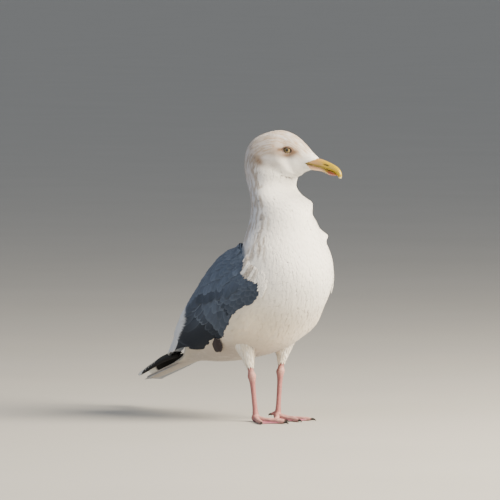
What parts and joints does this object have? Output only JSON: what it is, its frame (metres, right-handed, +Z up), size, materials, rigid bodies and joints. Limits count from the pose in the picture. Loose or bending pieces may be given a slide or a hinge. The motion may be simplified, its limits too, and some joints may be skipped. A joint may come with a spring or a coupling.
{
  "type": "standing gull figure",
  "caption": "Life-size still model of a large white-headed gull in adult winter plumage, standing alert on both feet with its head turned to its left.",
  "frame": {"origin": "on the ground, under the middle of the bird's bounding box", "axes": "+X is the way the trunk faces, +Y is the bird's left, +Z is up"},
  "size_m": [0.4508, 0.1606, 0.4077],
  "materials": {
    "body_plumage": "soft white feathers over flesh",
    "rump_plumage": "soft white feathers, mostly air",
    "tail_feathers": "smooth white feathers",
    "wing_feathers": "smooth slate grey feathers, the hindmost tipped white",
    "primary_feathers": "smooth black feathers with white tips",
    "leg_skin": "pink scaled skin",
    "bill_horn": "yellow horn with a red spot near the tip",
    "claw_horn": "dark horn",
    "eye_gloss": "wet pale honey eye with a dark pupil"
  },
  "bodies": {
    "root": {"tail": "tail_feathers", "rump": "rump_plumage", "trunk": "body_plumage", "neck": "body_plumage", "head": "body_plumage", "eye_right": "eye_gloss", "eye_left": "eye_gloss", "upper_bill": "bill_horn", "lower_bill": "bill_horn", "wing_right": "wing_feathers", "wing_left": "wing_feathers", "primaries_right": "primary_feathers", "primaries_left": "primary_feathers", "thigh_right": "body_plumage", "thigh_left": "body_plumage", "shank_right": "leg_skin", "shank_left": "leg_skin", "foot_right": "leg_skin", "foot_left": "leg_skin", "claw_right_outer": "claw_horn", "claw_right_middle": "claw_horn", "claw_right_inner": "claw_horn", "claw_right_hind": "claw_horn", "claw_left_outer": "claw_horn", "claw_left_middle": "claw_horn", "claw_left_inner": "claw_horn", "claw_left_hind": "claw_horn"}
  },
  "joints": []
}
